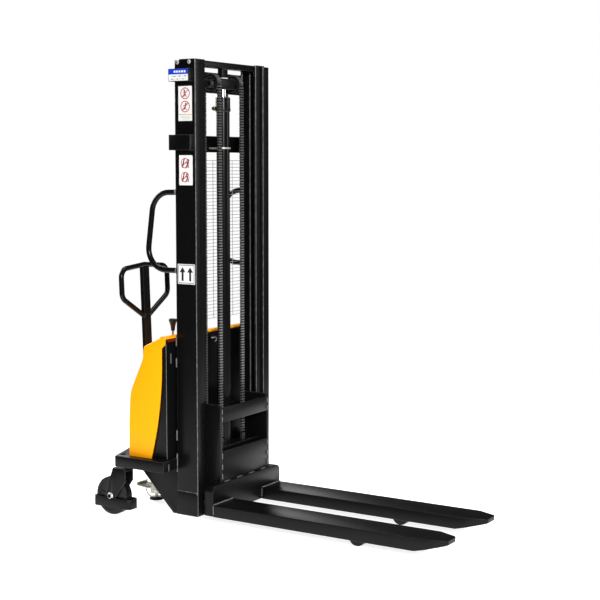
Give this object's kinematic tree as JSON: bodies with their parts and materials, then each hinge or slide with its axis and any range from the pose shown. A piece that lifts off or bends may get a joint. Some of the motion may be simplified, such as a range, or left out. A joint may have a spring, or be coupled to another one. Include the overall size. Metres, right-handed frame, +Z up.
{
  "type": "walkie stacker",
  "caption": "Pedestrian pallet stacker with a two-stage lift mast, forks over support legs, a hooded power unit, a looped tiller and swivel casters.",
  "frame": {"origin": "centre of the footprint, on the floor", "axes": "+Z up the mast; the forks point to -Y; +X is the left side of a person walking behind it towards the forks"},
  "size_m": [0.8, 1.7633, 2.088],
  "materials": {
    "frame_black": "satin powder coat",
    "hood_yellow": "semi-gloss moulded shell",
    "case_black": "satin powder coat",
    "bright_steel": "machined",
    "chrome_rod": "hard chrome",
    "zinc": "zinc plated",
    "chain_steel": "oiled leaf chain",
    "roller_steel": "ground",
    "wheel_black": "moulded polyurethane",
    "load_roller": "moulded polyurethane",
    "rubber_black": "matt rubber",
    "plastic_black": "moulded",
    "plastic_red": "moulded",
    "plastic_grey": "moulded",
    "nylon": "machined nylon",
    "alloy": "cast"
  },
  "bodies": {
    "chassis": {"mast_column_left": "frame_black", "mast_column_right": "frame_black", "mast_wear_pads": "nylon", "mast_ties": "frame_black", "mast_foot": "frame_black", "mast_bolts": "zinc", "support_legs": "frame_black", "rear_chain": "chain_steel", "rear_chain_anchors": "bright_steel", "lift_cylinder": "frame_black", "cylinder_strap": "zinc", "base_plate": "frame_black", "gusset_plates": "frame_black", "caster_bearings": "bright_steel", "mesh_guard": "bright_steel", "handrails": "frame_black", "hood": "hood_yellow", "hood_case": "case_black", "batteries": "plastic_grey", "valve_block": "alloy", "pump_motor": "frame_black", "oil_tank": "plastic_black", "charger": "alloy", "hydraulic_hose": "rubber_black", "lock_bracket": "frame_black"},
    "inner_mast": {"inner_channels": "frame_black", "inner_top_bar": "frame_black", "inner_foot": "frame_black", "front_chain": "chain_steel", "crosshead": "frame_black", "cylinder_rod": "chrome_rod"},
    "carriage": {"lower_beam": "frame_black", "carriage_sides": "frame_black", "carriage_front_plate": "frame_black", "carriage_top_bar": "frame_black", "chain_anchor_bar": "frame_black", "front_chain_anchors": "bright_steel", "fork_left": "frame_black", "fork_right": "frame_black"},
    "sheave_pair": {"sheaves": "roller_steel"},
    "inner_roller_pair": {"inner_rollers": "roller_steel"},
    "lower_roller_pair": {"carriage_rollers_lower": "roller_steel"},
    "upper_roller_pair": {"carriage_rollers_upper": "roller_steel"},
    "load_wheel_left": {"load_roller_left": "load_roller"},
    "load_wheel_right": {"load_roller_right": "load_roller"},
    "steering": {"steer_head": "frame_black"},
    "steering_links": {"tie_rods": "zinc"},
    "tiller": {"tiller_post": "frame_black", "tiller_loop": "frame_black"},
    "swivel_left": {"caster_yoke_left": "frame_black", "toe_guard_left": "frame_black"},
    "swivel_right": {"caster_yoke_right": "frame_black", "toe_guard_right": "frame_black"},
    "rear_wheel_left": {"caster_wheel_left": "wheel_black"},
    "rear_wheel_right": {"caster_wheel_right": "wheel_black"},
    "lever": {"lift_lever": "plastic_black"},
    "key": {"key_switch": "bright_steel"},
    "stop": {"stop_button": "plastic_red"},
    "pedal": {"lock_pedal": "zinc"},
    "foot": {"lock_foot": "rubber_black"}
  },
  "joints": [
    {"name": "mast_lift", "type": "slide", "parent": "chassis", "child": "inner_mast", "axis": [0, 0, 1], "range_m": [0, 1.5], "deforming": ["rear_chain"]},
    {"name": "carriage_lift", "type": "slide", "parent": "inner_mast", "child": "carriage", "axis": [0, 0, 1], "range_m": [0, 1.5], "deforming": ["front_chain"]},
    {"name": "sheave_spin", "type": "hinge", "parent": "inner_mast", "child": "sheave_pair", "pos_m": [0, 0.39934, 1.989], "axis": [1, 0, 0], "continuous": true},
    {"name": "inner_roller_spin", "type": "hinge", "parent": "inner_mast", "child": "inner_roller_pair", "pos_m": [0, 0.39684, 0.078], "axis": [1, 0, 0], "continuous": true},
    {"name": "lower_roller_spin", "type": "hinge", "parent": "carriage", "child": "lower_roller_pair", "pos_m": [0, 0.39684, 0.165], "axis": [1, 0, 0], "continuous": true},
    {"name": "upper_roller_spin", "type": "hinge", "parent": "carriage", "child": "upper_roller_pair", "pos_m": [0, 0.39684, 0.47], "axis": [1, 0, 0], "continuous": true},
    {"name": "load_wheel_left_spin", "type": "hinge", "parent": "chassis", "child": "load_wheel_left", "pos_m": [0.2, -0.44966, 0.04], "axis": [1, 0, 0], "continuous": true},
    {"name": "load_wheel_right_spin", "type": "hinge", "parent": "chassis", "child": "load_wheel_right", "pos_m": [-0.2, -0.44966, 0.04], "axis": [1, 0, 0], "continuous": true},
    {"name": "tiller_steer", "type": "hinge", "parent": "chassis", "child": "steering", "pos_m": [0, 0.83834, 0.287], "axis": [0, 0, 1], "range_deg": [-40, 40]},
    {"name": "link_shift", "type": "hinge", "parent": "steering", "child": "steering_links", "pos_m": [0, 0.80234, 0.259], "axis": [0, 0, 1], "range_deg": [-40, 40]},
    {"name": "swivel_left_turn", "type": "hinge", "parent": "chassis", "child": "swivel_left", "pos_m": [0.357, 0.72134, 0.225], "axis": [0, 0, 1], "range_deg": [-40, 40]},
    {"name": "rear_wheel_left_spin", "type": "hinge", "parent": "swivel_left", "child": "rear_wheel_left", "pos_m": [0.357, 0.77634, 0.09], "axis": [1, 0, 0], "continuous": true},
    {"name": "swivel_right_turn", "type": "hinge", "parent": "chassis", "child": "swivel_right", "pos_m": [-0.357, 0.72134, 0.225], "axis": [0, 0, 1], "range_deg": [-40, 40]},
    {"name": "rear_wheel_right_spin", "type": "hinge", "parent": "swivel_right", "child": "rear_wheel_right", "pos_m": [-0.357, 0.77634, 0.09], "axis": [1, 0, 0], "continuous": true},
    {"name": "tiller_tilt", "type": "hinge", "parent": "steering", "child": "tiller", "pos_m": [0, 0.83834, 0.325], "axis": [-1, 0, 0], "range_deg": [0, 60], "stiffness_Nm_per_rad": 40, "springref_deg": -5.73},
    {"name": "lever_throw", "type": "hinge", "parent": "chassis", "child": "lever", "pos_m": [-0.2, 0.54634, 0.8], "axis": [1, 0, 0], "range_deg": [-11, 11], "stiffness_Nm_per_rad": 1.5},
    {"name": "key_turn", "type": "hinge", "parent": "chassis", "child": "key", "pos_m": [-0.13, 0.48034, 0.851], "axis": [0, 0, 1], "range_deg": [0, 90]},
    {"name": "stop_press", "type": "slide", "parent": "chassis", "child": "stop", "axis": [0, 0, -1], "range_m": [0, 0.004]},
    {"name": "pedal_press", "type": "hinge", "parent": "chassis", "child": "pedal", "pos_m": [-0.07, 0.72634, 0.062], "axis": [-1, 0, 0], "range_deg": [0, 18]},
    {"name": "foot_drop", "type": "slide", "parent": "chassis", "child": "foot", "axis": [0, 0, -1], "range_m": [0, 0.01]}
  ],
  "couplings": [
    {"joint": "carriage_lift", "follows": "mast_lift", "ratio": 1},
    {"joint": "sheave_spin", "follows": "mast_lift", "rad_per_m": -23.256},
    {"joint": "inner_roller_spin", "follows": "mast_lift", "rad_per_m": 22.222},
    {"joint": "lower_roller_spin", "follows": "mast_lift", "rad_per_m": 31.25},
    {"joint": "upper_roller_spin", "follows": "mast_lift", "rad_per_m": 31.25},
    {"joint": "link_shift", "follows": "tiller_steer", "ratio": -1},
    {"joint": "swivel_left_turn", "follows": "tiller_steer", "ratio": 1},
    {"joint": "swivel_right_turn", "follows": "tiller_steer", "ratio": 1},
    {"joint": "foot_drop", "follows": "pedal_press", "m_per_rad": 0.03183}
  ]
}
